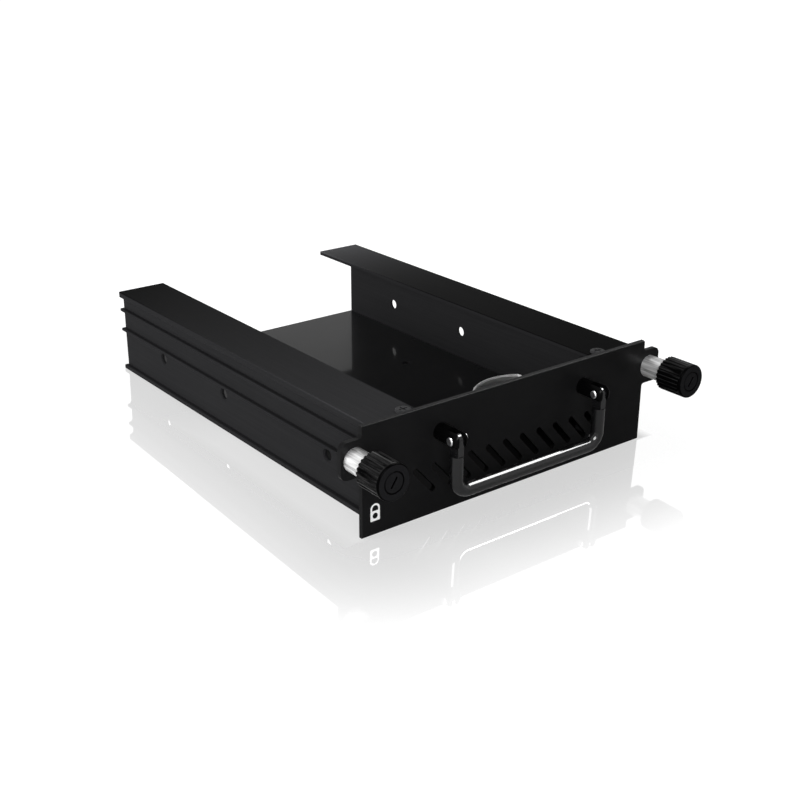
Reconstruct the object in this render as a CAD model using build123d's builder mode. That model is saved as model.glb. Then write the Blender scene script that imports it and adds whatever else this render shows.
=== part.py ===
from build123d import *
import os
from math import atan2, degrees, hypot

os.makedirs("parts", exist_ok=True)

# Drive carrier: an open tray of two channel rails and a floor sheet behind a slotted front plate.
# The plate carries a hanging bail handle on two forked posts and a lockable thumbscrew on each ear.
# X runs across, Y to the rear, Z up, in millimetres. The origin is the middle of the space that
# the carrier takes up, at the level of the plate's lower edge.

# The disk drive that the tray holds
drive_width = 101.6
drive_play = 0.15
side_hole_rear_pitch = 41.61
side_hole_front_pitch = 59.99
side_hole_radius = 1.8
side_hole_chamfer = 0.35
side_hole_height = 10.2
drive_hole_rise = 6.35
front_side_hole_depth = 24.64
small_drive_hole_width = 61.72
small_drive_hole_length = 76.6
small_drive_hole_radius = 1.7
small_drive_front_depth = 15.6

# Front plate and its ears
plate_side_reach = 3.65
plate_height = 35.1
plate_thickness = 1.6
plate_edge_round = 0.7
ear_reach = 7.2
ear_height = 11.5
ear_corner = 2.2
ear_root = 0.9

# Vent slots
slot_count = 11
slot_pitch = 7.0
slot_width = 2.0
slot_run = 7.75
slot_drop = 8.6
slot_middle_height = 12.15

# Rails, seen from the rear as a C with ribs outside
tray_depth = 155.4
rail_bottom = 3.9
rail_top = 33.9
web_thickness = 1.2
rib_reach = 1.55
flange_reach = 15.25
flange_thickness = 1.4
foot_reach = 5.0
foot_thickness = 0.8
top_lip_height = 2.2
rib_height = 1.05
upper_rib_top = 27.5
lower_rib_top = 19.9
bottom_rib_height = 1.5
cove_radius = 1.35
rail_edge_round = 0.3

# Floor sheet
floor_thickness = 1.0
floor_edge_gap = 0.1
floor_opening_radius = 19.2
floor_opening_x = 39.45
floor_opening_depth = 35.1
floor_opening_margin = 0.9
floor_opening_corner = 1.2
rest_ring_wall = 0.8
rest_ring_clearance = 0.02
rest_ring_play = 0.1
rest_ring_round = 0.25

# Corner brackets behind the plate
bracket_width = 12.0
bracket_from_web = 1.4
bracket_thickness = 1.2
bracket_reach = 8.2
bracket_bend = 1.6

# Screws and rivets
screw_shank_radius = 1.5
thread_clearance = 0.02
pan_head_radius = 2.75
pan_head_height = 1.2
low_head_radius = 2.4
low_head_height = 0.7
floor_screw_gap = 0.5
head_round = 0.5
recess_radius = 1.45
recess_width = 0.6
recess_depth = 0.6
flange_screw_from_plate = 2.6
floor_screw_from_plate = 4.1
flange_screw_from_edge = 3.9
screw_past_tab = 0.8
rivet_radius = 1.2
rivet_clearance = 0.02
rivet_chamfer = 0.15
rivets_per_rail = 4
rivet_before_opening = 1.9
rivet_behind_opening = 17.7
rivet_last_margin = 8.0

# Bail handle and its forked posts
handle_half_span = 29.1
rod_radius = 2.1
bail_bend_radius = 4.5
bail_drop = 17.0
pivot_reach = 7.5
pivot_height = 26.2
tongue_thickness = 2.2
tongue_half_depth = 1.8
tongue_length = 5.0
tongue_side_play = 0.15
post_radius = 2.7
post_reach = 10.0
post_nose_round = 1.5
post_slot_behind_pivot = 3.0
post_screw_length = 3.4
post_screw_hole_extra = 0.5
pin_radius = 0.8
pin_play = 0.05
pin_head_radius = 1.25
pin_head_height = 0.45
pin_head_round = 0.35

# Thumbscrews: a plated sleeve on the ear, a fluted knob over it, a lock barrel in the knob's face
thumbscrew_from_edge = 2.55
thumbscrew_height = 25.85
sleeve_radius = 3.7
sleeve_length = 9.0
sleeve_wall = 0.9
sleeve_nose = 1.4
sleeve_floor = 0.6
spigot_radius = 2.5
spigot_clearance = 0.02
knob_radius = 5.55
knob_start = 8.2
knob_length = 9.9
knob_collar = 1.1
knob_face_round = 0.5
knob_sleeve_play = 0.15
flute_count = 26
flute_radius = 0.42
lock_radius = 3.33
lock_play = 0.07
lock_recess = 0.1
knob_web = 1.0
key_slot_length = 3.6
key_slot_width = 0.6
key_slot_depth = 2.4
key_slot_lean = 34.0
captive_tip_chamfer = 0.4
captive_tip_from_back = 0.4
captive_spigot_radius = 1.2
shank_play = 0.2
push_travel = 4.0
push_end_gap = 0.4
clip_radius = 2.3
clip_thickness = 0.5
washer_radius = 2.65
washer_thickness = 0.4
bore_play = 0.05
spring_coil_radius = 2.3
spring_wire_radius = 0.18
spring_turns = 4

# How near two places must be to count as the same one
match_tolerance = 0.01

# Worked out from the sizes above
knob_front = knob_start + knob_length
lock_depth = knob_front - lock_recess - knob_web - sleeve_length - push_travel - push_end_gap
plate_front = (knob_front - tray_depth) / 2
plate_back = plate_front + plate_thickness
tray_end = plate_front + tray_depth
wall_x = drive_width / 2 + drive_play
web_x = wall_x + web_thickness
rib_x = web_x + rib_reach
flange_x = wall_x - flange_reach
foot_x = wall_x - foot_reach
plate_width = 2 * (rib_x + plate_side_reach)
floor_bottom = rail_bottom + foot_thickness
floor_top = floor_bottom + floor_thickness
flange_bottom = rail_top - flange_thickness
side_hole_z = floor_top + side_hole_height
side_hole_y = plate_front + front_side_hole_depth
rest_ring_top = side_hole_z - drive_hole_rise - rest_ring_play
thumbscrew_x = plate_width / 2 + thumbscrew_from_edge
pivot_y = plate_front - pivot_reach
bail_z = pivot_height - bail_drop
shoulder_z = pivot_height - tongue_length
flange_screw_x = flange_x + flange_screw_from_edge
flange_screw_y = plate_back + flange_screw_from_plate
bracket_outer_x = wall_x - bracket_from_web
bracket_middle_x = bracket_outer_x - bracket_width / 2
rivet_x = wall_x - foot_reach / 2


def front_plane(y):
    """An upright plane at y that faces the front: its own x and y are the model's X and Z."""
    return Plane(origin=(0, y, 0), x_dir=(1, 0, 0), z_dir=(0, -1, 0))


def side_plane(x):
    """An upright plane at x that faces +X: its own x and y are the model's Y and Z."""
    return Plane(origin=(x, 0, 0), x_dir=(0, 1, 0), z_dir=(1, 0, 0))


def save(piece, label):
    """Names a finished piece and writes it as a STEP file of its own."""
    piece.part.label = label
    export_step(piece.part, "parts/" + label + ".step")


def rivet_depths():
    """How far behind the plate's front the rivets of one rail stand: one is before the opening."""
    first = floor_opening_depth - floor_opening_radius - rivet_before_opening
    second = floor_opening_depth + floor_opening_radius + rivet_behind_opening
    last = tray_depth - rivet_last_margin
    step = (last - second) / (rivets_per_rail - 2)
    return [first] + [second + step * i for i in range(rivets_per_rail - 1)]


def build_floor_opening(side):
    """The round opening near a front corner of the floor, cut straight along the wall."""
    straight_x = wall_x - floor_opening_margin
    reach = 2 * floor_opening_radius
    with BuildSketch(Plane.XY) as outline:
        with Locations((side * floor_opening_x, plate_front + floor_opening_depth)):
            Circle(floor_opening_radius)
        with Locations((side * (straight_x - reach / 2), plate_front + floor_opening_depth)):
            Rectangle(reach, reach, mode=Mode.INTERSECT)
        fillet(outline.vertices(), floor_opening_corner)
    return outline.sketch


# Front plate
slot_length = hypot(slot_run, slot_drop)
slot_angle = -degrees(atan2(slot_drop, slot_run))
with BuildPart() as front_panel:
    with BuildSketch(front_plane(plate_back)) as outline:
        with Locations((0, plate_height / 2)):
            Rectangle(plate_width, plate_height)
        with Locations((0, thumbscrew_height)):
            Rectangle(plate_width + 2 * ear_reach, ear_height)
        ends = outline.vertices().group_by(Axis.X)
        fillet(ends[0] + ends[-1], ear_corner)
        roots = outline.vertices().filter_by_position(
            Axis.Y,
            thumbscrew_height - ear_height / 2 - match_tolerance,
            thumbscrew_height + ear_height / 2 + match_tolerance,
        )
        roots = roots.filter_by(lambda v: abs(abs(v.X) - plate_width / 2) < match_tolerance)
        fillet(roots, ear_root)
    extrude(amount=plate_thickness)
    long_edges = front_panel.edges().filter_by(Axis.X).filter_by(
        lambda e: e.length > plate_width / 2
    )
    front_edges = long_edges.group_by(Axis.Y)[0]
    fillet(front_edges, plate_edge_round)
    with BuildSketch(front_plane(plate_back)):
        with Locations((0, slot_middle_height)):
            with GridLocations(slot_pitch, 0, slot_count, 1):
                SlotOverall(slot_length, slot_width, rotation=slot_angle)
    extrude(amount=plate_thickness, mode=Mode.SUBTRACT)
    with BuildSketch(front_plane(plate_back)):
        with Locations((0, pivot_height)):
            with GridLocations(2 * handle_half_span, 0, 2, 1):
                Circle(screw_shank_radius + shank_play)
        with Locations((0, thumbscrew_height)):
            with GridLocations(2 * thumbscrew_x, 0, 2, 1):
                Circle(spigot_radius + spigot_clearance)
    extrude(amount=plate_thickness, mode=Mode.SUBTRACT)
save(front_panel, "front_panel")


def build_rail(side):
    """A channel rail: top flange inwards, foot under the floor, guide ribs and coves outside."""
    with BuildPart() as rail:
        with BuildSketch(front_plane(tray_end)):
            with BuildLine():
                Polyline(
                    (side * flange_x, rail_top),
                    (side * rib_x, rail_top),
                    (side * rib_x, rail_top - top_lip_height),
                    (side * web_x, rail_top - top_lip_height),
                    (side * web_x, upper_rib_top),
                    (side * rib_x, upper_rib_top),
                    (side * rib_x, upper_rib_top - rib_height),
                    (side * web_x, upper_rib_top - rib_height),
                    (side * web_x, lower_rib_top),
                    (side * rib_x, lower_rib_top),
                    (side * rib_x, lower_rib_top - rib_height),
                    (side * web_x, lower_rib_top - rib_height),
                    (side * web_x, rail_bottom + bottom_rib_height),
                    (side * rib_x, rail_bottom + bottom_rib_height),
                    (side * rib_x, rail_bottom),
                    (side * foot_x, rail_bottom),
                    (side * foot_x, floor_bottom),
                    (side * wall_x, floor_bottom),
                    (side * wall_x, flange_bottom),
                    (side * flange_x, flange_bottom),
                    close=True,
                )
            make_face()
        extrude(amount=tray_end - plate_back)
        cove_heights = [
            rail_top - top_lip_height,
            upper_rib_top - rib_height,
            lower_rib_top - rib_height,
        ]
        long_edges = rail.edges().filter_by(Axis.Y)
        tips = long_edges.filter_by(lambda e: abs(abs(e.center().X) - rib_x) < match_tolerance)
        coves = long_edges.filter_by(
            lambda e: abs(abs(e.center().X) - web_x) < match_tolerance
            and any(abs(e.center().Z - z) < match_tolerance for z in cove_heights)
        )
        fillet(coves, cove_radius)
        fillet(tips, rail_edge_round)
        outside = Plane(origin=(side * web_x, 0, 0), x_dir=(0, side, 0), z_dir=(side, 0, 0))
        middle_y = side_hole_y + side_hole_front_pitch
        hole_ys = [side_hole_y, middle_y, middle_y + side_hole_rear_pitch]
        with BuildSketch(outside):
            with Locations([(side * y, side_hole_z) for y in hole_ys]):
                Circle(side_hole_radius + side_hole_chamfer)
        extrude(amount=rib_reach, mode=Mode.SUBTRACT)
        with Locations(outside):
            with Locations([(side * y, side_hole_z) for y in hole_ys]):
                CounterSinkHole(side_hole_radius, side_hole_radius + side_hole_chamfer, 2 * web_thickness)
        with BuildSketch(Plane.XY.offset(flange_bottom)):
            with Locations((side * flange_screw_x, flange_screw_y)):
                Circle(screw_shank_radius + shank_play)
        extrude(amount=flange_thickness, mode=Mode.SUBTRACT)
        with BuildSketch(Plane.XY.offset(rail_bottom)):
            with Locations([(side * rivet_x, plate_front + depth) for depth in rivet_depths()]):
                Circle(rivet_radius + rivet_clearance)
        extrude(amount=foot_thickness, mode=Mode.SUBTRACT)
        with BuildSketch(Plane.XY.offset(rail_bottom)):
            add(build_floor_opening(side))
        extrude(amount=foot_thickness, mode=Mode.SUBTRACT)
    return rail


save(build_rail(-1), "left_rail")
save(build_rail(1), "right_rail")

# Floor sheet, on the rails' feet
floor_half = wall_x - floor_edge_gap
floor_length = tray_end - plate_back
floor_screw_x = foot_x - low_head_radius - floor_screw_gap
floor_screw_y = plate_back + floor_screw_from_plate
with BuildPart() as floor_sheet:
    with BuildSketch(Plane.XY.offset(floor_bottom)):
        with Locations((0, plate_back + floor_length / 2)):
            Rectangle(2 * floor_half, floor_length)
        with Locations((0, plate_front + small_drive_front_depth + small_drive_hole_length / 2)):
            with GridLocations(small_drive_hole_width, small_drive_hole_length, 2, 2):
                Circle(small_drive_hole_radius, mode=Mode.SUBTRACT)
        with Locations((0, floor_screw_y)):
            with GridLocations(2 * floor_screw_x, 0, 2, 1):
                Circle(screw_shank_radius + thread_clearance, mode=Mode.SUBTRACT)
        for depth in rivet_depths():
            with Locations((0, plate_front + depth)):
                with GridLocations(2 * rivet_x, 0, 2, 1):
                    Circle(rivet_radius + rivet_clearance, mode=Mode.SUBTRACT)
        add(build_floor_opening(-1), mode=Mode.SUBTRACT)
        add(build_floor_opening(1), mode=Mode.SUBTRACT)
    extrude(amount=floor_thickness)
save(floor_sheet, "floor_sheet")


def build_rest_ring(side):
    """The ring that lines a floor opening and stands up to the drive's underside."""
    outline = build_floor_opening(side)
    with BuildPart() as ring:
        with BuildSketch(Plane.XY.offset(rail_bottom)):
            offset(outline, amount=-rest_ring_clearance, mode=Mode.ADD)
            offset(outline, amount=-rest_ring_clearance - rest_ring_wall, mode=Mode.SUBTRACT)
        extrude(amount=rest_ring_top - rail_bottom)
        fillet(ring.faces().sort_by(Axis.Z)[-1].edges(), rest_ring_round)
    return ring


save(build_rest_ring(-1), "left_rest_ring")
save(build_rest_ring(1), "right_rest_ring")

# Flush rivets that hold the floor sheet to the rails' feet
with BuildPart() as floor_rivets:
    with BuildSketch(Plane.XY.offset(rail_bottom)):
        for depth in rivet_depths():
            with Locations((0, plate_front + depth)):
                with GridLocations(2 * rivet_x, 0, 2, 1):
                    Circle(rivet_radius)
    extrude(amount=floor_top - rail_bottom)
    chamfer(floor_rivets.edges().filter_by(GeomType.CIRCLE), rivet_chamfer)
save(floor_rivets, "floor_rivets")


def build_bracket(side):
    """A bent strip behind the plate, with a tab under the top flange and one on the floor."""
    with BuildPart() as bracket:
        with BuildSketch(side_plane(side * bracket_middle_x)) as profile:
            with BuildLine():
                Polyline(
                    (plate_back, floor_top),
                    (plate_back + bracket_reach, floor_top),
                    (plate_back + bracket_reach, floor_top + bracket_thickness),
                    (plate_back + bracket_thickness, floor_top + bracket_thickness),
                    (plate_back + bracket_thickness, flange_bottom - bracket_thickness),
                    (plate_back + bracket_reach, flange_bottom - bracket_thickness),
                    (plate_back + bracket_reach, flange_bottom),
                    (plate_back, flange_bottom),
                    close=True,
                )
            make_face()
            outer_bends = profile.vertices().group_by(Axis.X)[0]
            fillet(outer_bends, bracket_bend)
            inner_bends = profile.vertices().filter_by(
                lambda v: abs(v.X - plate_back - bracket_thickness) < match_tolerance
            )
            fillet(inner_bends, bracket_bend - bracket_thickness)
        extrude(amount=bracket_width / 2, both=True)
        with BuildSketch(Plane.XY.offset(flange_bottom)):
            with Locations((side * flange_screw_x, flange_screw_y)):
                Circle(screw_shank_radius + thread_clearance)
        extrude(amount=-bracket_thickness, mode=Mode.SUBTRACT)
        with BuildSketch(Plane.XY.offset(floor_top)):
            with Locations((side * floor_screw_x, floor_screw_y)):
                Circle(screw_shank_radius + thread_clearance)
        extrude(amount=bracket_thickness, mode=Mode.SUBTRACT)
    return bracket


save(build_bracket(-1), "left_bracket")
save(build_bracket(1), "right_bracket")


def screw_group(seat, places, head_radius, head_height, shank_length):
    """Cross-recess screws on a plane that faces outwards along their heads."""
    with BuildPart() as screws:
        with BuildSketch(seat):
            with Locations(places):
                Circle(head_radius)
        extrude(amount=head_height)
        rims = screws.edges().filter_by(GeomType.CIRCLE).sort_by(
            lambda e: -(e.center() - seat.origin).dot(seat.z_dir)
        )
        fillet(rims[: len(places)], min(head_round, head_height * 0.6))
        with BuildSketch(seat):
            with Locations(places):
                Circle(screw_shank_radius)
        extrude(amount=-shank_length)
        with BuildSketch(seat.offset(head_height)):
            with Locations(places):
                Rectangle(2 * recess_radius, recess_width)
                Rectangle(recess_width, 2 * recess_radius)
        extrude(amount=-min(recess_depth, head_height * 0.6), mode=Mode.SUBTRACT)
    return screws


flange_screws = screw_group(
    Plane.XY.offset(rail_top),
    [(-flange_screw_x, flange_screw_y), (flange_screw_x, flange_screw_y)],
    low_head_radius,
    low_head_height,
    flange_thickness + bracket_thickness,
)
save(flange_screws, "flange_screws")

under_floor = Plane(origin=(0, 0, floor_bottom), x_dir=(1, 0, 0), z_dir=(0, 0, -1))
floor_screws = screw_group(
    under_floor,
    [(-floor_screw_x, -floor_screw_y), (floor_screw_x, -floor_screw_y)],
    low_head_radius,
    low_head_height,
    floor_thickness + bracket_thickness + screw_past_tab,
)
save(floor_screws, "floor_screws")

behind_plate = Plane(origin=(0, plate_back, 0), x_dir=(1, 0, 0), z_dir=(0, 1, 0))
post_screws = screw_group(
    behind_plate,
    [(-handle_half_span, -pivot_height), (handle_half_span, -pivot_height)],
    pan_head_radius,
    pan_head_height,
    plate_thickness + post_screw_length,
)
save(post_screws, "post_screws")


def build_post(side):
    """A forked handle post: a stud with a domed nose, slotted upright for the bail's tongue."""
    nose_y = plate_front - post_reach
    slot_floor_y = pivot_y + post_slot_behind_pivot
    with BuildPart() as post:
        with BuildSketch(front_plane(plate_front)):
            with Locations((side * handle_half_span, pivot_height)):
                Circle(post_radius)
        extrude(amount=post_reach)
        fillet(post.edges().filter_by(GeomType.CIRCLE).sort_by(Axis.Y)[0], post_nose_round)
        with BuildSketch(front_plane(slot_floor_y)):
            with Locations((side * handle_half_span, pivot_height)):
                Rectangle(tongue_thickness + 2 * tongue_side_play, 3 * post_radius)
        extrude(amount=slot_floor_y - nose_y, mode=Mode.SUBTRACT)
        with BuildSketch(front_plane(plate_front)):
            with Locations((side * handle_half_span, pivot_height)):
                Circle(screw_shank_radius + thread_clearance)
        extrude(amount=post_screw_length + post_screw_hole_extra, mode=Mode.SUBTRACT)
        with BuildSketch(side_plane(side * handle_half_span)):
            with Locations((pivot_y, pivot_height)):
                Circle(pin_radius)
        extrude(amount=post_radius, both=True, mode=Mode.SUBTRACT)
    return post


save(build_post(-1), "left_handle_post")
save(build_post(1), "right_handle_post")


def build_pin(side):
    """The pivot pin of one post, with a small domed head on each cheek."""
    head_x = post_radius
    with BuildPart() as pin:
        with BuildSketch(side_plane(side * handle_half_span)):
            with Locations((pivot_y, pivot_height)):
                Circle(pin_radius)
        extrude(amount=head_x, both=True)
        for end in (-1, 1):
            with BuildSketch(side_plane(side * handle_half_span + end * head_x)):
                with Locations((pivot_y, pivot_height)):
                    Circle(pin_head_radius)
            extrude(amount=end * pin_head_height)
        rims = pin.edges().filter_by(GeomType.CIRCLE).sort_by(Axis.X)
        fillet([rims[0], rims[-1]], pin_head_round)
    return pin


save(build_pin(-1), "left_handle_pin")
save(build_pin(1), "right_handle_pin")

# Bail: one bent rod with a flat tongue milled at each end
with BuildPart() as bail:
    with BuildLine(front_plane(pivot_y)) as path:
        FilletPolyline(
            (-handle_half_span, shoulder_z),
            (-handle_half_span, bail_z),
            (handle_half_span, bail_z),
            (handle_half_span, shoulder_z),
            radius=bail_bend_radius,
        )
    with BuildSketch(Plane(origin=path.line @ 0, z_dir=path.line % 0)):
        Circle(rod_radius)
    sweep(path=path.line)
    for side in (-1, 1):
        with BuildSketch(side_plane(side * handle_half_span)):
            with Locations((pivot_y, (shoulder_z + pivot_height) / 2 - rod_radius / 2)):
                Rectangle(2 * tongue_half_depth, tongue_length + rod_radius)
            with Locations((pivot_y, pivot_height)):
                Circle(tongue_half_depth)
        extrude(amount=tongue_thickness / 2, both=True)
        with BuildSketch(side_plane(side * handle_half_span)):
            with Locations((pivot_y, pivot_height)):
                Circle(pin_radius + pin_play)
        extrude(amount=tongue_thickness, both=True, mode=Mode.SUBTRACT)
save(bail, "bail")

# Thumbscrew stations, measured from the plate's front face towards the front
sleeve_front_y = plate_front - sleeve_length
sleeve_bore_radius = sleeve_radius - sleeve_wall
shoulder_y = sleeve_front_y + sleeve_nose
clip_front_y = shoulder_y + bore_play
clip_back_y = clip_front_y + clip_thickness
washer_front_y = clip_back_y
washer_back_y = washer_front_y + washer_thickness
knob_back_y = plate_front - knob_start
knob_front_y = plate_front - knob_front
lock_floor_y = knob_front_y + lock_recess + lock_depth
knob_bore_y = lock_floor_y + knob_web
captive_tip_y = plate_back - captive_tip_from_back


def turned(side, stations):
    """A turned piece on a thumbscrew's axis, from (radius, y) stations of half its section."""
    centre = Plane(
        origin=(side * thumbscrew_x, 0, thumbscrew_height), x_dir=(1, 0, 0), z_dir=(0, 0, 1)
    )
    with BuildPart() as piece:
        with BuildSketch(centre):
            with BuildLine():
                Polyline(stations, close=True)
            make_face()
        revolve(axis=Axis((side * thumbscrew_x, 0, thumbscrew_height), (0, 1, 0)))
    return piece


def build_sleeve(side):
    """The plated sleeve: a tube with a spigot in the ear and a shoulder at its front."""
    return turned(
        side,
        [
            (screw_shank_radius + shank_play, plate_back),
            (spigot_radius, plate_back),
            (spigot_radius, plate_front),
            (sleeve_radius, plate_front),
            (sleeve_radius, sleeve_front_y),
            (screw_shank_radius + shank_play, sleeve_front_y),
            (screw_shank_radius + shank_play, shoulder_y),
            (sleeve_bore_radius, shoulder_y),
            (sleeve_bore_radius, plate_front - sleeve_floor),
            (screw_shank_radius + shank_play, plate_front - sleeve_floor),
        ],
    )


def build_knob(side):
    """The fluted knob: a deep bore over the sleeve and a shallow one for the lock barrel."""
    blank = turned(
        side,
        [
            (captive_spigot_radius + thread_clearance, knob_bore_y),
            (sleeve_radius + knob_sleeve_play, knob_bore_y),
            (sleeve_radius + knob_sleeve_play, knob_back_y),
            (knob_radius, knob_back_y),
            (knob_radius, knob_front_y),
            (lock_radius + lock_play, knob_front_y),
            (lock_radius + lock_play, lock_floor_y),
            (captive_spigot_radius + thread_clearance, lock_floor_y),
        ],
    )
    with BuildPart() as knob:
        add(blank.part)
        rim = knob.edges().filter_by(GeomType.CIRCLE).filter_by(
            lambda e: abs(e.radius - knob_radius) < match_tolerance
        ).sort_by(Axis.Y)[0]
        fillet(rim, knob_face_round)
        with BuildSketch(front_plane(knob_back_y)):
            with Locations((side * thumbscrew_x, thumbscrew_height)):
                with PolarLocations(knob_radius + flute_radius * 0.25, flute_count):
                    Circle(flute_radius)
        extrude(amount=knob_length - knob_collar, mode=Mode.SUBTRACT)
    return knob


def build_lock_barrel(side):
    """The lock barrel in the knob's face, with its slanted keyway."""
    with BuildPart() as barrel:
        with BuildSketch(front_plane(lock_floor_y)):
            with Locations((side * thumbscrew_x, thumbscrew_height)):
                Circle(lock_radius)
        extrude(amount=lock_depth)
        with BuildSketch(front_plane(lock_floor_y - lock_depth)):
            with Locations((side * thumbscrew_x, thumbscrew_height)):
                Rectangle(key_slot_width, key_slot_length, rotation=-key_slot_lean)
        extrude(amount=-key_slot_depth, mode=Mode.SUBTRACT)
    return barrel


def build_captive_screw(side):
    """The captive screw: riveted in the knob's web, its tip just inside the ear at rest."""
    return turned(
        side,
        [
            (0, lock_floor_y),
            (captive_spigot_radius, lock_floor_y),
            (captive_spigot_radius, knob_bore_y),
            (screw_shank_radius, knob_bore_y),
            (screw_shank_radius, captive_tip_y - captive_tip_chamfer),
            (screw_shank_radius - captive_tip_chamfer, captive_tip_y),
            (0, captive_tip_y),
        ],
    )


def build_clip(side):
    """The clip on the screw that keeps it in the sleeve."""
    return turned(
        side,
        [
            (screw_shank_radius, clip_front_y),
            (clip_radius, clip_front_y),
            (clip_radius, clip_back_y),
            (screw_shank_radius, clip_back_y),
        ],
    )


def build_slip_washer(side):
    """The washer between the clip, which turns, and the spring, which doesn't."""
    return turned(
        side,
        [
            (screw_shank_radius + bore_play, washer_front_y),
            (washer_radius, washer_front_y),
            (washer_radius, washer_back_y),
            (screw_shank_radius + bore_play, washer_back_y),
        ],
    )


def build_spring(side):
    """The return spring in the sleeve, from its floor to the slip washer."""
    start_y = plate_front - sleeve_floor - spring_wire_radius
    length = start_y - washer_back_y - spring_wire_radius
    with BuildPart() as spring:
        with BuildLine() as coil:
            Helix(
                length / spring_turns,
                length,
                spring_coil_radius,
                center=(side * thumbscrew_x, start_y, thumbscrew_height),
                direction=(0, -1, 0),
            )
        with BuildSketch(Plane(origin=coil.line @ 0, z_dir=coil.line % 0)):
            Circle(spring_wire_radius)
        sweep(path=coil.line, is_frenet=True)
    return spring


for side, hand in ((-1, "left"), (1, "right")):
    save(build_sleeve(side), hand + "_sleeve")
    save(build_knob(side), hand + "_knob")
    save(build_lock_barrel(side), hand + "_lock_barrel")
    save(build_captive_screw(side), hand + "_captive_screw")
    save(build_clip(side), hand + "_screw_clip")
    save(build_slip_washer(side), hand + "_slip_washer")
    save(build_spring(side), hand + "_spring")
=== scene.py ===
"""Looks of the drive carrier: its finishes, two coil springs, the padlock sign and the studio."""

from math import cos, hypot, pi, radians, sin

import bpy
import numpy as np
from mathutils import Matrix, Vector


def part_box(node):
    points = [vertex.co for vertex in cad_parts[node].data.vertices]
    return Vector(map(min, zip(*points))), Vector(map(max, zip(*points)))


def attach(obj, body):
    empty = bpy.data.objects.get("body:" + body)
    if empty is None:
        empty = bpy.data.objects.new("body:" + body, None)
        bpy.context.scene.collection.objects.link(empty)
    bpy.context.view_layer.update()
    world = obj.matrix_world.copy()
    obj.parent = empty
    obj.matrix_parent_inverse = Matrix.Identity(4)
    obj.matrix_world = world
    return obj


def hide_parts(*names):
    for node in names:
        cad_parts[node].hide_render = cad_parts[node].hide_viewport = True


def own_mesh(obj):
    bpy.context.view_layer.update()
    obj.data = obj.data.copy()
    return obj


bl_info = {
    "name": "Drive Carrier Looks",
    "version": (1, 0, 0),
    "blender": (4, 5, 0),
    "location": "View3D > Sidebar > Carrier",
    "description": "Finishes, coil springs, the padlock sign and the studio for a drive carrier",
    "category": "Object",
}

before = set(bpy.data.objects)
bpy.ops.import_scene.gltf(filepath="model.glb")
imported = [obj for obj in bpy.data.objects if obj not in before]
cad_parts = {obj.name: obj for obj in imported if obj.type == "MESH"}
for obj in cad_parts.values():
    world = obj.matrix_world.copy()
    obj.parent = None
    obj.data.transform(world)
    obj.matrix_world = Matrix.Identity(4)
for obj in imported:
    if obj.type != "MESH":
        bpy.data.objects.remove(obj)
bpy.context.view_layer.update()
plate_low, plate_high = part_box("front_panel")
rail_low, rail_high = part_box("left_rail")

MM = 0.001

# The padlock sign, from the middle of the plate and its lower edge
SIGN_X = -52.85 * MM
SIGN_FOOT = 4.65 * MM
SIGN_WIDTH = 3.35 * MM
SIGN_BODY_HEIGHT = 3.25 * MM
SIGN_HOLE = 0.9 * MM
SIGN_BAND = 0.6 * MM
SIGN_LEG = 0.6 * MM
SIGN_THICKNESS = 0.03 * MM
SIGN_CORNER_POWER = 16

# The part of the plate that holds the slots, from its middle, and the millimetres behind its
# face between which the slots' walls turn black as painted shade
SLOTS_REACH = 46.0 * MM
SLOTS_RISE = 15.0 * MM
SLOT_WALL_DEPTHS = (0.1, 0.25)

# The return springs, with the steps of their mesh in one turn and round the wire
SPRING_TURNS = 4
SPRING_WIRE_RADIUS = 0.18 * MM
SPRING_STEPS = 48
SPRING_SIDES = 12

# Waves in a metre of the clouds in the paint, and the noise levels between which dust shows
CLOUD_WAVES = 60.0
DUST_LEVELS = (0.70, 0.76)
FLOOR_DUST_LEVELS = (0.72, 0.78)

# The floor sheet is painted with shade near the plate and takes its own tone further behind it,
# and its gloss starts behind the plate: for each a distance, and the shares of it where the change
# starts and ends
FLOOR_SHADE_REACH = 60 * MM
FLOOR_SHADE_SHARES = (0.4, 1.0)
FLOOR_GLOSS_REACH = 100 * MM
FLOOR_GLOSS_SHARES = (0.5, 0.95)
FLOOR_GLOSS = 0.22
FLOOR_PAINTED_SHADE = (0.001, 0.001, 0.001)

# Painted light and shade on the rails' top faces: the factor at the plate, at the rear end, and the
# power of the change
LEFT_SHADES = (2.2, 0.1, 1.0)
RIGHT_SHADES = (0.1, 5.5, 6.0)

# The rest rings: how far the black reaches in from outside, the height of the upper edge that is
# painted white as a highlight, the width of both edges, and the bore's grey with the height and the
# shares of it over which painted shade darkens it downward
RING_SKIN = 0.4 * MM
RING_RIM = 0.55 * MM
RING_EDGE = 0.2 * MM
BORE_SHADE = 0.55
BORE_SHADE_HEIGHT = 8 * MM
BORE_SHADE_SHARES = (0.4, 0.9)

# The ground's glow, cut under the carrier as painted shadow and dimmed next to it as painted shade:
# the width of its edge, how many such widths it starts within the rails' outline, its strength, and
# how much of that is lost next to the carrier
GLOW_EDGE = 5 * MM
GLOW_WIDTHS_WITHIN = 2.8
GLOW = 1.04
GLOW_LOST_NEAR = 0.44

# Where the ground's mirror comes back, beside the rails and along them: for each a distance, and
# the shares of it where the change starts and ends
BARE_BESIDE = 12 * MM
BARE_BESIDE_SHARES = (0.5, 0.9)
BARE_ALONG = 100 * MM
BARE_ALONG_SHARES = (0.1, 0.4)

# The ground's reach, its colour for light and for the camera, and its mirror's roughness
GROUND_REACH = 3.0
GROUND_WHITE = (0.82, 0.82, 0.82)
GROUND_FOR_CAMERA = (0.22, 0.22, 0.22)
MIRROR_ROUGHNESS = 0.02

# The sky's strength in gloss, where 1 is what the camera sees
GLOSS_SKY = 0.8

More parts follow.
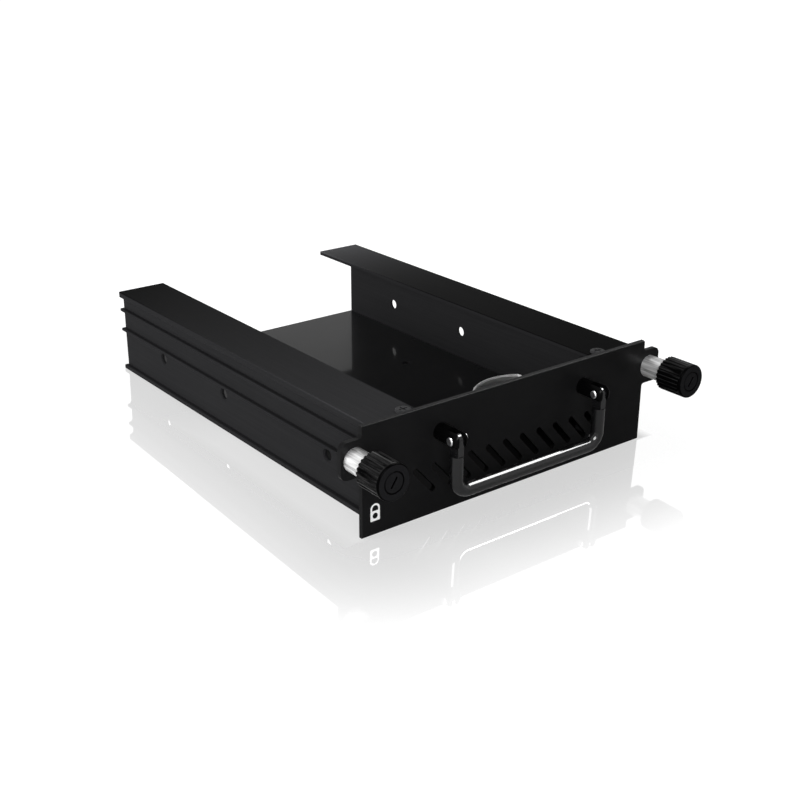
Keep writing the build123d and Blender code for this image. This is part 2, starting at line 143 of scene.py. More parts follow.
# Each lamp's name, place, aim, width and height, then the setting with its power and the kind
# of ray that it is hidden from
LAMP_AIM = (0, 0, 0.02)
LAMPS = (
    ("side_lamp", (-0.6, 0.2, 0.25), LAMP_AIM, (0.4, 0.3), "side_power", "visible_glossy"),
    ("right_lamp", (0.6, 0.1, 0.12), LAMP_AIM, (0.4, 0.2), "right_power", "visible_glossy"),
    ("fill_lamp", (-0.25, -0.4, 0.13), LAMP_AIM, (0.3, 0.25), "fill_power", "visible_glossy"),
    ("strip_lamp", (0.4, -0.1, 0.57), LAMP_AIM, (0.35, 0.3), "strip_power", "visible_diffuse"),
    ("front_lamp", (-0.29, -0.55, 0.44), LAMP_AIM, (0.4, 0.4), "front_power", "visible_diffuse"),
    ("rear_lamp", (0.3, 0.42, 0.21), (0.04, 0.06, 0.03), (0.3, 0.2), "rear_power", None),
)

# The camera that was fitted to the photograph
CAMERA_PLACE = (-0.24212, -0.32249, 0.17341)
CAMERA_AZIMUTH = -37.968
CAMERA_ELEVATION = 22.547
CAMERA_ROLL = -0.228
CAMERA_LENS = 56.27
CAMERA_NEAREST = 0.01
SENSOR_WIDTH = 36.0


class Value:
    """A shader socket that takes part in Python sums: each operator adds one Math node."""

    def __init__(self, socket):
        self.socket = socket

    def math(self, operation, first, second):
        """A Math node over two terms, each a shader value or a number."""
        tree = self.socket.id_data
        node = tree.nodes.new("ShaderNodeMath")
        node.operation = operation
        for index, term in enumerate((first, second)):
            if isinstance(term, Value):
                tree.links.new(term.socket, node.inputs[index])
            else:
                node.inputs[index].default_value = term
        return Value(node.outputs[0])

    def __add__(self, other):
        return self.math("ADD", self, other)

    def __radd__(self, other):
        return self.math("ADD", other, self)

    def __sub__(self, other):
        return self.math("SUBTRACT", self, other)

    def __rsub__(self, other):
        return self.math("SUBTRACT", other, self)

    def __mul__(self, other):
        return self.math("MULTIPLY", self, other)

    def __rmul__(self, other):
        return self.math("MULTIPLY", other, self)

    def __pow__(self, other):
        return self.math("POWER", self, other)

    def __abs__(self):
        return self.math("ABSOLUTE", self, 0.0)


def larger(first, second):
    """The larger one of a shader value and another value or a number."""
    return first.math("MAXIMUM", first, second)


def shifted(colour, times, lift=0.0):
    """A colour with each part times a number, plus a lift."""
    return tuple(part * times + lift for part in colour)


class Finish:
    """One material and its nodes."""

    def __init__(self, name):
        self.material = bpy.data.materials.new(name)
        self.material.use_nodes = True
        self.tree = self.material.node_tree
        self.tree.nodes.clear()

    def add(self, kind, settings, values, output=0):
        """A node of that kind: its settings come first, then its sockets' values or links."""
        node = self.tree.nodes.new(kind)
        for key, setting in settings.items():
            if key == "stops":
                for element, (place, level) in zip(node.color_ramp.elements, setting):
                    element.position = place
                    element.color = (level, level, level, 1)
            else:
                setattr(node, key, setting)
        for key, value in values.items():
            if isinstance(value, Value):
                self.tree.links.new(value.socket, node.inputs[key])
            else:
                node.inputs[key].default_value = value
        return Value(node.outputs[output]) if node.outputs else None

    def coordinates(self, stretch=(1, 1, 1), middle=(0, 0, 0)):
        """Object coordinates from a middle point, in metres, then stretched."""
        plain = self.add("ShaderNodeTexCoord", {}, {}, "Object")
        moved = self.add("ShaderNodeVectorMath", {"operation": "SUBTRACT"}, {0: plain, 1: middle})
        return self.add("ShaderNodeMapping", {}, {"Vector": moved, "Scale": stretch})

    def axes(self, vector):
        """A vector's parts along X, Y and Z."""
        split = self.add("ShaderNodeSeparateXYZ", {}, {0: vector})
        return [Value(split.socket.node.outputs[axis]) for axis in "XYZ"]

    def noise(self, vector, scale, detail=3.0):
        """Noise between 0 and 1 with so many waves in a metre."""
        return self.add(
            "ShaderNodeTexNoise", {}, {"Vector": vector, "Scale": scale, "Detail": detail}, "Fac"
        )

    def ramp(self, value, low, high):
        """0 below low and 1 above high."""
        return self.add("ShaderNodeValToRGB", {"stops": ((low, 0), (high, 1))}, {"Fac": value})

    def blend_colours(self, factor, low, high):
        """The colour low where the factor is 0, and high where it is 1."""
        low, high = (end if isinstance(end, Value) else (*end, 1) for end in (low, high))
        return self.add("ShaderNodeMix", {"data_type": "RGBA"}, {0: factor, 6: low, 7: high}, 2)

    def bump(self, height, distance):
        """A normal that is tilted by a height between 0 and 1, in steps of distance metres."""
        return self.add("ShaderNodeBump", {}, {"Height": height, "Distance": distance})

    def surface(self, **sockets):
        """The Principled shader with these sockets, its names written with underscores."""
        named = {key.replace("_", " "): value for key, value in sockets.items()}
        shader = self.add("ShaderNodeBsdfPrincipled", {}, named)
        self.add("ShaderNodeOutputMaterial", {}, {"Surface": shader})
        return self.material


def painted(name, colour, shine):
    """Sprayed black: a fine orange peel, cloudy gloss and a few pale specks of dust."""
    finish = Finish(name)
    place = finish.coordinates()
    peel = finish.noise(place, 2600.0)
    cloud = finish.noise(place, CLOUD_WAVES)
    dust = finish.ramp(finish.noise(place, 8060.0, 2.0), *DUST_LEVELS)
    pale = shifted(colour, 2.2, 0.01)
    return finish.surface(
        Base_Color=finish.blend_colours(cloud * 0.25 + dust * 0.35, colour, pale),
        Roughness=0.4 + (cloud - 0.5) * 0.12 + (peel - 0.5) * 0.06,
        Specular_IOR_Level=shine,
        Normal=finish.bump(peel, 0.008 * MM),
    )


def plate_finish(name, colour, shine):
    """Sprayed black with a fine orange peel. The slots' walls are painted black as shade, and
    duller.
    """
    finish = Finish(name)
    middle = (plate_low + plate_high) / 2
    place = finish.coordinates(middle=(middle.x, plate_low.y, middle.z))
    across, behind, up = finish.axes(place)
    beside = abs(across) * (1 / MM) - SLOTS_REACH / MM
    beyond = abs(up) * (1 / MM) - SLOTS_RISE / MM
    outside = finish.ramp(larger(beside, beyond), 0.0, 1.0)
    # Painted shade: the slots' walls turn black behind the plate's face
    shaded_slot_wall = finish.ramp(behind * (1 / MM), *SLOT_WALL_DEPTHS) * (1.0 - outside)
    peel = finish.noise(place, 2300.0)
    cloud = finish.noise(place, CLOUD_WAVES)
    dust = finish.ramp(finish.noise(place, 7100.0, 2.0), *DUST_LEVELS)
    pale = shifted(colour, 2.2, 0.01)
    paint = finish.blend_colours(cloud * 0.25 + dust * 0.35, colour, pale)
    return finish.surface(
        Base_Color=finish.blend_colours(shaded_slot_wall, paint, (0, 0, 0)),
        Roughness=0.34 + (cloud - 0.5) * 0.12 + shaded_slot_wall * 0.5,
        Specular_IOR_Level=shine,
        Normal=finish.bump(peel, 0.006 * MM),
    )


def floor_sheet_finish(name, colour):
    """Sprayed black with painted shade towards the plate, under a clear gloss that starts behind
    it.
    """
    finish = Finish(name)
    place = finish.coordinates(middle=(0, plate_high.y, 0))
    _, along, _ = finish.axes(place)
    cloud = finish.noise(place, CLOUD_WAVES)
    peel = finish.noise(place, 1400.0)
    dust = finish.ramp(finish.noise(place, 4300.0, 2.0), *FLOOR_DUST_LEVELS)
    pale = shifted(colour, 2.2, 0.01)
    paint = finish.blend_colours(cloud * 0.25 + dust * 0.3, colour, pale)
    # Painted shade: the floor sheet turns darker towards the plate
    far = finish.ramp(along * (1 / FLOOR_SHADE_REACH), *FLOOR_SHADE_SHARES)
    gloss = along * (1 / FLOOR_GLOSS_REACH) + (cloud - 0.5) * 0.1
    return finish.surface(
        Base_Color=finish.blend_colours(far, FLOOR_PAINTED_SHADE, paint),
        Roughness=0.4 + (cloud - 0.5) * 0.12,
        Specular_IOR_Level=0.01,
        Coat_Weight=finish.ramp(gloss, *FLOOR_GLOSS_SHARES) * FLOOR_GLOSS,
        Coat_Roughness=0.07,
        Normal=finish.bump(peel, 0.002 * MM),
    )


def extruded(name, colour, shine, shades):
    """Anodised extrusion: die lines along the rail, in its gloss and relief, over a fine etch.

    Its top face goes from one shade at the plate to another at the rear end, as a power. The
    shades are set for the photo's view and stand for light that the studio doesn't have.
    """
    front_shade, rear_shade, bend = shades
    finish = Finish(name)
    _, along, up = finish.axes(finish.coordinates(middle=(0, plate_high.y, rail_high.z)))
    top = finish.ramp(up * (1 / MM) + 1.0, 0.5, 0.9)
    share = finish.ramp(along * (1 / (rail_high.y - plate_high.y)), 0.0, 1.0)
    # Painted light and shade on the top face, from the plate to the rear end
    change = share ** bend * (rear_shade - front_shade) + front_shade - 1.0
    lines = finish.noise(finish.coordinates((1.0, 0.012, 1.0)), 2600.0, 4.0)
    etch = finish.noise(finish.coordinates(), 5200.0, 2.0)
    cloud = finish.noise(finish.coordinates((1.0, 0.2, 1.0)), 70.0)
    anodised = finish.blend_colours(lines * 0.5 + cloud * 0.2, colour, shifted(colour, 1.9, 0.006))
    return finish.surface(
        Base_Color=finish.add(
            "ShaderNodeVectorMath", {"operation": "SCALE"},
            {0: anodised, "Scale": change * top + 1.0},
        ),
        Roughness=0.35 + (lines - 0.5) * 0.16 + (etch - 0.5) * 0.05,
        Specular_IOR_Level=shine,
        Normal=finish.bump(lines * 0.7 + etch * 0.3, 0.006 * MM),
    )


def turned_metal(name, colour, roughness, middle):
    """Turned metal: fine rings round the Y axis through a middle point, and faint smears."""
    finish = Finish(name)
    place = finish.coordinates(middle=middle)
    rings = finish.noise(finish.coordinates((0.05, 1.0, 0.05), middle), 3800.0, 3.0)
    smear = finish.noise(place, 260.0, 4.0)
    dull = shifted(colour, 0.72)
    return finish.surface(
        Base_Color=finish.blend_colours(smear * 0.5 + rings * 0.3, colour, dull),
        Roughness=roughness + (rings - 0.5) * 0.10 + (smear - 0.5) * 0.10,
        Metallic=1.0,
        Normal=finish.bump(rings, 0.004 * MM),
    )


def knob_finish(name, node, colour, face):
    """Moulded black: glossy flutes, and a satin face a little paler up to its dark edge."""
    low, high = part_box(node)
    middle = ((low.x + high.x) / 2, low.y, (low.z + high.z) / 2)
    finish = Finish(name)
    place = finish.coordinates(middle=middle)
    across, along, up = finish.axes(place)
    radius = (across * across + up * up) ** 0.5
    flat = finish.ramp(1.0 - along * (1 / (0.1 * MM)), 0.0, 0.6)
    edge = finish.ramp((radius - (high.x - low.x) / 2) * (1 / MM) + 1.0, 0.55, 0.7)
    front = flat * (1.0 - edge)
    sides = finish.ramp(along * (1 / MM), 0.6, 0.9)
    grain = finish.noise(place, 2500.0, 3.0)
    rub = finish.noise(finish.coordinates((1.0, 0.1, 1.0)), 1100.0, 4.0)
    tone = finish.blend_colours(front, colour, face)
    return finish.surface(
        Base_Color=finish.add(
            "ShaderNodeMix", {"data_type": "RGBA", "blend_type": "MULTIPLY"},
            {0: grain * 0.6, 6: tone, 7: (0.5, 0.5, 0.5, 1)}, 2,
        ),
        Roughness=0.3 + (rub - 0.5) * 0.2 + front * 0.2,
        Specular_IOR_Level=0.01,
        Coat_Weight=sides * finish.ramp(rub, 0.38, 0.62) * 0.6,
        Coat_Roughness=0.06,
        Normal=finish.bump(grain, 0.003 * MM),
    )


def brushed_chrome(name, colour, middle):
    """Satin plating, brushed along the Y axis: broad bands under thin streaks, and fine relief."""
    finish = Finish(name)
    streaks = finish.noise(finish.coordinates((1.0, 0.02, 1.0), middle), 2600.0, 3.0)
    bands = finish.noise(finish.coordinates((1.0, 0.08, 1.0), middle), 620.0, 2.0)
    dull = shifted(colour, 0.3)
    shade = finish.ramp(bands, 0.42, 0.66) * 0.65 + finish.ramp(streaks, 0.45, 0.75) * 0.3
    return finish.surface(
        Base_Color=finish.blend_colours(shade, colour, dull),
        Roughness=0.24 + (bands - 0.5) * 0.2,
        Metallic=0.45 + (streaks - 0.5) * 0.3,
        Normal=finish.bump(streaks, 0.006 * MM),
    )


def glossy_black(name, colour, shine, roughness, coat):
    """Black under a clear coat: soft ripples, faint rub marks and a little dust."""
    finish = Finish(name)
    ripple = finish.noise(finish.coordinates(), 420.0, 2.0)
    rub = finish.noise(finish.coordinates((1.0, 0.25, 2.5)), 1500.0, 5.0)
    dust = finish.ramp(finish.noise(finish.coordinates(), 6100.0, 1.0), 0.74, 0.78)
    pale = shifted(colour, 2.0, 0.012)
    return finish.surface(
        Base_Color=finish.blend_colours(rub * 0.2 + dust * 0.4, colour, pale),
        Roughness=roughness + (rub - 0.5) * 0.10,
        Specular_IOR_Level=shine,
        Coat_Weight=coat,
        Coat_Roughness=0.04,
        Normal=finish.bump(ripple, 0.01 * MM),
    )


def ring_finish(name, node, black):
    """A rest ring: black outside, bare metal in its bore with painted shade lower down, and an
    upper edge painted white as a highlight.
    """
    low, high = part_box(node)
    finish = Finish(name)
    reach = (high.y - low.y) / 2
    round_x = low.x + reach if low.x > 0 else high.x - reach
    middle = (round_x, (low.y + high.y) / 2, (low.z + high.z) / 2)
    place = finish.coordinates(middle=middle)
    across, along, up = finish.axes(place)
    radius = (across * across + along * along) ** 0.5
    wave = (finish.noise(place, 900.0, 2.0) - 0.5) * 0.3
    bore = 0.5 + (reach - RING_SKIN - radius) * (1 / RING_EDGE) + wave
    # The upper edge is bare metal painted white as a highlight
    rim_highlight = 0.5 + (up - (high.z - low.z) / 2 + RING_RIM) * (1 / RING_EDGE) + wave
    rim_highlight = finish.ramp(rim_highlight, 0.0, 1.0)
    bare = larger(finish.ramp(bore, 0.0, 1.0), rim_highlight)
    etch = finish.noise(place, 4200.0, 3.0)
    # Painted shade: the bore darkens downward
    painted_bore_shade = finish.ramp(up * (1 / BORE_SHADE_HEIGHT) + 0.5, *BORE_SHADE_SHARES)
    metal = finish.blend_colours(painted_bore_shade * BORE_SHADE * (1.0 - rim_highlight) + rim_highlight, (0, 0, 0), (1, 1, 1))
    return finish.surface(
        Base_Color=finish.blend_colours(bare, black, metal),
        Roughness=0.5 - rim_highlight * 0.15 + (etch - 0.5) * 0.1,
        Specular_IOR_Level=0.05,
        Normal=finish.bump(etch, 0.004 * MM),
    )


def ink(name, colour):
    """Screen ink: nearly white, with a fine edge of thin spots."""
    finish = Finish(name)
    grain = finish.noise(finish.coordinates(), 9000.0, 2.0)
    thin = shifted(colour, 0.78)
    return finish.surface(
        Base_Color=finish.blend_colours(finish.ramp(grain, 0.5, 0.75), colour, thin),
        Roughness=0.5 + (grain - 0.5) * 0.2,
        Normal=finish.bump(grain, 0.003 * MM),
    )


def sheet_mesh(name, points, closed_rows=False):
    """A mesh over a grid of points (rows, columns, 3), joined to its neighbours by quads.

    With closed_rows the last column joins the first one.
    """
    rows, columns = points.shape[:2]
    index = np.arange(rows * columns).reshape(rows, columns)
    if closed_rows:
        index = np.concatenate([index, index[:, :1]], axis=1)
    quads = np.stack([index[:-1, :-1], index[:-1, 1:], index[1:, 1:], index[1:, :-1]], axis=-1)
    mesh = bpy.data.meshes.new(name)
    mesh.from_pydata(points.reshape(-1, 3), [], quads.reshape(-1, 4))
    mesh.validate()
    mesh.update()
    piece = bpy.data.objects.new(name, mesh)
    bpy.context.scene.collection.objects.link(piece)
    return piece


def on_plate(across, up):
    """Points on the plate's front face, from their distances across and up."""
    front = plate_low.y - SIGN_THICKNESS
    return np.stack([SIGN_X + across, np.full_like(across, front), SIGN_FOOT + up], axis=-1)


def sign_body():
    """The padlock's body: each ray from the key hole runs from its round edge to the outline.

    The outline is |x / half width| ** power + |y / half height| ** power = 1, a rectangle with
    slightly rounded corners, so a ray at an angle is as long as that sum's root allows.
    """
    turn = np.linspace(0, 2 * pi, 128, endpoint=False)[None, :]
    share = np.linspace(0, 1, 7)[:, None]
    half_width = SIGN_WIDTH / 2
    half_height = SIGN_BODY_HEIGHT / 2
    across = np.abs(np.cos(turn) / half_width) ** SIGN_CORNER_POWER
    up = np.abs(np.sin(turn) / half_height) ** SIGN_CORNER_POWER
    radius = SIGN_HOLE + ((across + up) ** (-1 / SIGN_CORNER_POWER) - SIGN_HOLE) * share
    return on_plate(radius * np.cos(turn), half_height + radius * np.sin(turn))


def sign_shackle():
    """The padlock's shackle: a band along a leg, a half circle and the other leg.

    A point's travel from the top is first an angle on the half circle, then a length down the leg.
    """
    travel = np.linspace(-1, 1, 73)[None, :]
    offset = np.linspace(-SIGN_BAND / 2, SIGN_BAND / 2, 4)[:, None]
    middle = (SIGN_WIDTH - SIGN_BAND) / 2
    quarter = middle * pi / 2
    length = np.abs(travel) * (SIGN_LEG + quarter)
    bend = np.minimum(length / middle, pi / 2)
    leg = np.maximum(length - quarter, 0)
    across = np.sign(travel) * np.sin(bend) * (middle + offset)
    up = np.cos(bend) * (middle + offset) - leg
    return on_plate(across, SIGN_BODY_HEIGHT + SIGN_LEG + up)


def coil_spring(low, high):
    """A wire coil in a box, about the Y axis: a small circle swept along a helix.

    The helix turns from X to Z while it goes from the box's high end to its low end. The circle
    lies across the wire, and shrinks at the wire's two ends.
    """
    coil = (high.x - low.x) / 2 - SPRING_WIRE_RADIUS
    full_turn = 2 * pi * SPRING_TURNS
    pitch = (high.y - low.y - 2 * SPRING_WIRE_RADIUS) / full_turn
    turn = np.linspace(0, full_turn, SPRING_STEPS * SPRING_TURNS + 1)[:, None, None]
    around = np.linspace(0, 2 * pi, SPRING_SIDES, endpoint=False)[None, :, None]
    shrink = np.clip(np.minimum(turn, full_turn - turn) * 12 + 0.05, 0, 1) ** 0.5
    still = np.zeros_like(turn)
    outward = np.concatenate([np.cos(turn), still, np.sin(turn)], axis=-1)
    forward = np.concatenate([-coil * np.sin(turn), still - pitch, coil * np.cos(turn)], axis=-1)
    across = np.cross(forward / hypot(coil, pitch), outward)
    way = np.concatenate([still, -pitch * turn, still], axis=-1)
    start = ((low.x + high.x) / 2, high.y - SPRING_WIRE_RADIUS, (low.z + high.z) / 2)
    section = np.cos(around) * outward + np.sin(around) * across
    return np.array(start) + way + coil * outward + SPRING_WIRE_RADIUS * shrink * section


class CarrierFinishSettings(bpy.types.PropertyGroup):
    """Colours and gloss of the carrier's finishes."""

    black: bpy.props.FloatVectorProperty(
        name="Black", description="Colour of the paint", size=3, subtype="COLOR",
        default=(0.0062, 0.0062, 0.0065),
    )
    floor_black: bpy.props.FloatVectorProperty(
        name="Floor black", description="Colour of the floor sheet", size=3, subtype="COLOR",
        default=(0.014, 0.014, 0.0147),
    )
    rail_black: bpy.props.FloatVectorProperty(
        name="Rail black", description="Colour of the anodised rails", size=3, subtype="COLOR",
        default=(0.012, 0.012, 0.0127),
    )
    gloss_black: bpy.props.FloatVectorProperty(
        name="Gloss black", description="Colour of the handle and the knobs", size=3,
        subtype="COLOR", default=(0.006, 0.006, 0.0065),
    )
    chrome: bpy.props.FloatVectorProperty(
        name="Chrome", description="Colour of the sleeves", size=3, subtype="COLOR",
        default=(1.0, 1.0, 1.0),
    )
    steel: bpy.props.FloatVectorProperty(
        name="Steel", description="Colour of screws, pins and springs", size=3, subtype="COLOR",
        default=(0.55, 0.55, 0.56),
    )
    shine: bpy.props.FloatProperty(
        name="Shine", description="Specular level of the paint", default=0.03, min=0, max=1,
    )
    rail_shine: bpy.props.FloatProperty(
        name="Rail shine", description="Specular level of the rails", default=0.003, min=0, max=1,
    )


class CarrierSignSettings(bpy.types.PropertyGroup):
    """The padlock sign."""

    white: bpy.props.FloatVectorProperty(
        name="White", description="Colour of the sign", size=3, subtype="COLOR",
        default=(0.93, 0.93, 0.93),
    )


class CarrierStudioSettings(bpy.types.PropertyGroup):
    """Camera, lamps and floor."""

    lens: bpy.props.FloatProperty(
        name="Lens", description="Focal length", default=CAMERA_LENS, unit="CAMERA",
    )
    sky: bpy.props.FloatProperty(
        name="Sky", description="Strength of the sky's light on the object", default=0.176, min=0,
    )
    side_power: bpy.props.FloatProperty(
        name="Side lamp", description="Power of the soft lamp at the left", default=4.4,
        unit="POWER",
    )
    right_power: bpy.props.FloatProperty(
        name="Right lamp", description="Power of the low lamp at the right", default=1.6,
        unit="POWER",
    )
    strip_power: bpy.props.FloatProperty(
        name="Strip lamp", description="Power of the lamp above that only gloss shows",
        default=8.0, unit="POWER",
    )
    front_power: bpy.props.FloatProperty(
        name="Front lamp", description="Power of the lamp in front that only gloss shows",
        default=8.0, unit="POWER",
    )
    fill_power: bpy.props.FloatProperty(
        name="Fill lamp", description="Power of the soft lamp in front, which gloss doesn't show",
        default=1.1, unit="POWER",
    )
    rear_power: bpy.props.FloatProperty(
        name="Rear lamp", description="Power of the lamp behind", default=0.08, unit="POWER",
    )
    floor_mirror: bpy.props.FloatProperty(
        name="Floor mirror", description="Share of mirror in the floor near the carrier",
        default=0.42, min=0, max=1,
    )
    floor_mirror_reach: bpy.props.FloatProperty(
        name="Mirror reach", description="How far from the carrier the mirror fades",
        default=58 * MM, unit="LENGTH",
    )


def dress(material, *nodes):
    """Gives CAD nodes a material in each of their slots."""
    for node in nodes:
        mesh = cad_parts[node].data
        if not mesh.materials:
            mesh.materials.append(material)
        for index in range(len(mesh.materials)):
            mesh.materials[index] = material


class CARRIER_OT_sheet_metal(bpy.types.Operator):
    """Finish the plate, the floor, the brackets, their fasteners and the rest rings."""

    bl_idname = "carrier.sheet_metal"
    bl_label = "Sheet metal"

    def execute(self, context):
        looks = context.scene.carrier_finish
        black = tuple(looks.black)
        floor_black = tuple(looks.floor_black)
        dress(plate_finish("plate_paint", black, looks.shine), "front_panel")
        dress(floor_sheet_finish("floor_paint", floor_black), "floor_sheet", "floor_rivets")
        dress(
            painted("bracket_paint", black, looks.shine),
            "left_bracket", "right_bracket", "floor_screws",
        )
        dress(painted("screw_paint", shifted(black, 5), looks.shine), "flange_screws")
        for node in ("left_rest_ring", "right_rest_ring"):
            dress(ring_finish(node + "_aluminium", node, black), node)
        return {"FINISHED"}


class CARRIER_OT_rails(bpy.types.Operator):
    """Finish the two extruded rails."""

    bl_idname = "carrier.rails"
    bl_label = "Rails"

    def execute(self, context):
        looks = context.scene.carrier_finish
        black = tuple(looks.rail_black)
        shine = looks.rail_shine
        dress(extruded("left_anodised", black, shine, LEFT_SHADES), "left_rail")
        dress(extruded("right_anodised", black, shine, RIGHT_SHADES), "right_rail")
        return {"FINISHED"}


class CARRIER_OT_handle(bpy.types.Operator):
    """Finish the bail, its posts, their pins and their screws."""

    bl_idname = "carrier.handle"
    bl_label = "Handle"

    def execute(self, context):
        looks = context.scene.carrier_finish
        black = tuple(looks.gloss_black)
        dress(glossy_black("handle_gloss", black, 0.2, 0.15, 0.5), "bail")
        dress(
            glossy_black("post_gloss", shifted(black, 0.12), 0.02, 0.3, 0.03),
            "left_handle_post", "right_handle_post",
        )
        dress(
            turned_metal("pin_steel", (0.85, 0.85, 0.86), 0.32, (0, 0, 0)),
            "left_handle_pin", "right_handle_pin", "post_screws",
        )
        return {"FINISHED"}


class CARRIER_OT_thumbscrews(bpy.types.Operator):
    """Finish the sleeves, knobs, locks and what is inside them."""

    bl_idname = "carrier.thumbscrews"
    bl_label = "Thumbscrews"

    def execute(self, context):
        looks = context.scene.carrier_finish
        for hand in ("left", "right"):
            low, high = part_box(hand + "_sleeve")
            middle = tuple((low + high) / 2)
            dress(
                brushed_chrome(hand + "_chrome", tuple(looks.chrome), middle),
                hand + "_sleeve",
            )
            flutes = shifted(looks.gloss_black, 0.2)
            face = shifted(looks.gloss_black, 2.2)
            for node in (hand + "_knob", hand + "_lock_barrel"):
                dress(knob_finish(node + "_black", node, flutes, face), node)
            dress(
                turned_metal(hand + "_screw_steel", tuple(looks.steel), 0.3, middle),
                hand + "_captive_screw", hand + "_screw_clip", hand + "_slip_washer",
            )
        return {"FINISHED"}


class CARRIER_OT_springs(bpy.types.Operator):
    """Coil the two return springs as fixed meshes; the real ones shorten when a knob is pushed."""

    bl_idname = "carrier.springs"
    bl_label = "Springs"

    def execute(self, context):
        steel = tuple(context.scene.carrier_finish.steel)
        wire = turned_metal("spring_wire", steel, 0.3, (0, 0, 0))
        for hand in ("left", "right"):
            node = hand + "_spring"
            low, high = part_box(node)
            piece = sheet_mesh(hand + "_coil", coil_spring(low, high), closed_rows=True)
            piece.data.materials.append(wire)
            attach(piece, "carrier")
            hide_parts(node)
            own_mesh(piece)
        return {"FINISHED"}


class CARRIER_OT_sign(bpy.types.Operator):
    """Print the padlock on the plate."""

    bl_idname = "carrier.sign"
    bl_label = "Padlock sign"

    def execute(self, context):
        white = ink("sign_ink", tuple(context.scene.carrier_sign.white))
        for name, points, closed in (
            ("padlock_body", sign_body(), True),
            ("padlock_shackle", sign_shackle(), False),
        ):
            piece = sheet_mesh(name, points, closed)
            piece.data.materials.append(white)
            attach(piece, "carrier")
        return {"FINISHED"}


def floor_corners(reach):
    """A square of floor under the plate's lower edge and the rails' rear ends.

    Its height is the rails' height times the way from the plate towards their rear ends.
    """
    across, along = np.meshgrid([-reach, reach], [-reach, reach])
    slope = rail_low.z / (rail_high.y - plate_low.y)
    return np.stack([across, along, (along - plate_low.y) * slope], axis=-1)


def floor_finish(studio):
    """White ground that mirrors the carrier near it, and glows for the camera alone.

    It doesn't glow under the carrier, a painted shadow, and glows less near it, a painted shade.
    Close beside the rails, over the tray's front half, it has no mirror, which would show sky
    through the floor sheet's left opening.
    """
    finish = Finish("floor_white")
    across, along, _ = finish.axes(finish.coordinates())
    middle = (plate_low.y + rail_high.y) / 2
    rail_reach = -rail_low.x
    beside = abs(across) - rail_reach
    beyond = abs(along - middle) - (rail_high.y - middle)
    open_ground = finish.ramp(
        larger(beside, beyond) * (1 / GLOW_EDGE) + GLOW_WIDTHS_WITHIN, 0.0, 1.0
    )
    outside = larger(
        finish.ramp(beside * (1 / BARE_BESIDE), *BARE_BESIDE_SHARES),
        finish.ramp(beyond * (1 / MM), 0.0, 1.0),
    )
    mirrored = larger(outside, finish.ramp(along * (1 / BARE_ALONG), *BARE_ALONG_SHARES))
    beside = larger(beside, 0.0)
    beyond = larger(beyond, 0.0)
    away = (beside * beside + beyond * beyond) * studio.floor_mirror_reach ** -2
    near = larger(1.0 - away, 0.0)
    camera_ray = finish.add("ShaderNodeLightPath", {}, {}, "Is Camera Ray")
    # Painted shadow under the carrier and painted shade next to it: the glow is cut or dimmed there
    strength = (GLOW - near * GLOW_LOST_NEAR) * camera_ray * open_ground
    glow = finish.add("ShaderNodeEmission", {}, {"Strength": strength})
    shade = finish.blend_colours(camera_ray, GROUND_WHITE, GROUND_FOR_CAMERA)
    plain = finish.add("ShaderNodeBsdfDiffuse", {}, {"Color": shade})
    mirror = finish.add(
        "ShaderNodeBsdfGlossy", {}, {"Color": (1, 1, 1, 1), "Roughness": MIRROR_ROUGHNESS}
    )
    mixed = finish.add(
        "ShaderNodeMixShader", {},
        {0: near * mirrored * camera_ray * studio.floor_mirror, 1: plain, 2: mirror},
    )
    lit = finish.add("ShaderNodeAddShader", {}, {0: mixed, 1: glow})
    finish.add("ShaderNodeOutputMaterial", {}, {"Surface": lit})
    return finish.material


def camera_turn():
    """The camera's turn: its right, up and back directions as the columns of a matrix."""
    azimuth = radians(CAMERA_AZIMUTH)
    elevation = radians(CAMERA_ELEVATION)
    right = Vector((cos(azimuth), sin(azimuth), 0))
    back = Vector((sin(azimuth) * cos(elevation), -cos(azimuth) * cos(elevation), sin(elevation)))
    up = back.cross(right)
    plain = Matrix((right, up, back)).transposed()
    return plain @ Matrix.Rotation(radians(-CAMERA_ROLL), 3, "Z")


def add_lamp(name, place, aim, size, power):
    """A rectangular soft lamp at a place that shines at a point."""
    lamp = bpy.data.lights.new(name, "AREA")
    lamp.shape = "RECTANGLE"
    lamp.size, lamp.size_y = size
    lamp.energy = power
    shown = bpy.data.objects.new(name, lamp)
    shown.location = place
    shown.rotation_euler = (Vector(aim) - Vector(place)).to_track_quat("-Z", "Y").to_euler()
    bpy.context.scene.collection.objects.link(shown)
    return shown


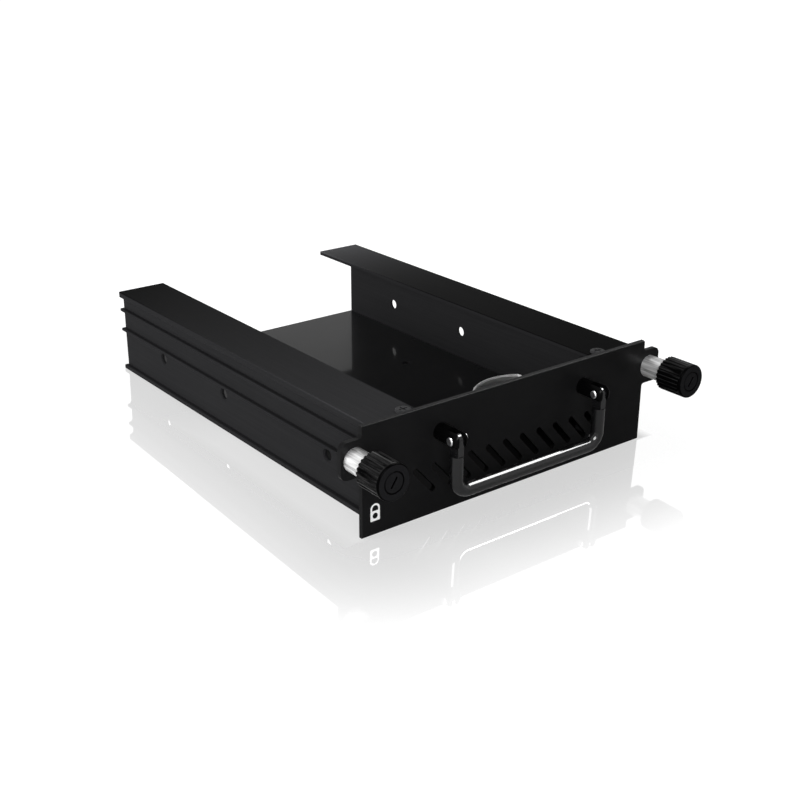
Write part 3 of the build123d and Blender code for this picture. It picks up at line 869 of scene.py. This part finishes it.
class CARRIER_OT_studio(bpy.types.Operator):
    """Set the floor, the sky, the lamps and the camera."""

    bl_idname = "carrier.studio"
    bl_label = "Studio"

    def execute(self, context):
        scene = context.scene
        studio = scene.carrier_studio

        floor = sheet_mesh("floor", floor_corners(GROUND_REACH))
        floor.data.materials.append(floor_finish(studio))

        world = bpy.data.worlds.new("white_room")
        world.use_nodes = True
        tree = world.node_tree
        tree.nodes.clear()
        path = tree.nodes.new("ShaderNodeLightPath")
        camera_ray = Value(path.outputs["Is Camera Ray"])
        glossy_ray = Value(path.outputs["Is Glossy Ray"])
        clear_ray = Value(path.outputs["Is Transmission Ray"])
        seen = camera_ray + clear_ray
        strength = seen + glossy_ray * GLOSS_SKY + (1.0 - seen - glossy_ray) * studio.sky
        sky = tree.nodes.new("ShaderNodeBackground")
        sky.inputs["Color"].default_value = (1, 1, 1, 1)
        tree.links.new(strength.socket, sky.inputs["Strength"])
        end = tree.nodes.new("ShaderNodeOutputWorld")
        tree.links.new(sky.outputs[0], end.inputs["Surface"])
        scene.world = world

        for name, place, aim, size, power, hidden_from in LAMPS:
            lamp = add_lamp(name, place, aim, size, getattr(studio, power))
            if hidden_from:
                setattr(lamp, hidden_from, False)

        scene.view_settings.view_transform = "Standard"
        camera = bpy.data.cameras.new("camera")
        camera.sensor_width = SENSOR_WIDTH
        camera.lens = studio.lens
        camera.clip_start = CAMERA_NEAREST
        shown = bpy.data.objects.new("camera", camera)
        shown.matrix_world = Matrix.Translation(CAMERA_PLACE) @ camera_turn().to_4x4()
        scene.collection.objects.link(shown)
        scene.camera = shown
        return {"FINISHED"}


OPERATORS = (
    CARRIER_OT_sheet_metal,
    CARRIER_OT_rails,
    CARRIER_OT_handle,
    CARRIER_OT_thumbscrews,
    CARRIER_OT_springs,
    CARRIER_OT_sign,
    CARRIER_OT_studio,
)


class CARRIER_PT_looks(bpy.types.Panel):
    """Lists the steps of the looks in the sidebar."""

    bl_label = "Carrier"
    bl_idname = "CARRIER_PT_looks"
    bl_space_type = "VIEW_3D"
    bl_region_type = "UI"
    bl_category = "Carrier"

    def draw(self, context):
        for settings in (
            context.scene.carrier_finish,
            context.scene.carrier_sign,
            context.scene.carrier_studio,
        ):
            for key in settings.__annotations__:
                self.layout.prop(settings, key)
        for operator in OPERATORS:
            self.layout.operator(operator.bl_idname)


CLASSES = (
    CarrierFinishSettings,
    CarrierSignSettings,
    CarrierStudioSettings,
    *OPERATORS,
    CARRIER_PT_looks,
)


def register():
    for made in CLASSES:
        bpy.utils.register_class(made)
    bpy.types.Scene.carrier_finish = bpy.props.PointerProperty(type=CarrierFinishSettings)
    bpy.types.Scene.carrier_sign = bpy.props.PointerProperty(type=CarrierSignSettings)
    bpy.types.Scene.carrier_studio = bpy.props.PointerProperty(type=CarrierStudioSettings)


def unregister():
    del bpy.types.Scene.carrier_finish
    del bpy.types.Scene.carrier_sign
    del bpy.types.Scene.carrier_studio
    for made in reversed(CLASSES):
        bpy.utils.unregister_class(made)


def main():
    register()
    bpy.ops.carrier.sheet_metal()
    bpy.ops.carrier.rails()
    bpy.ops.carrier.handle()
    bpy.ops.carrier.thumbscrews()
    bpy.ops.carrier.springs()
    bpy.ops.carrier.sign()
    bpy.ops.carrier.studio()


if __name__ == "__main__":
    main()
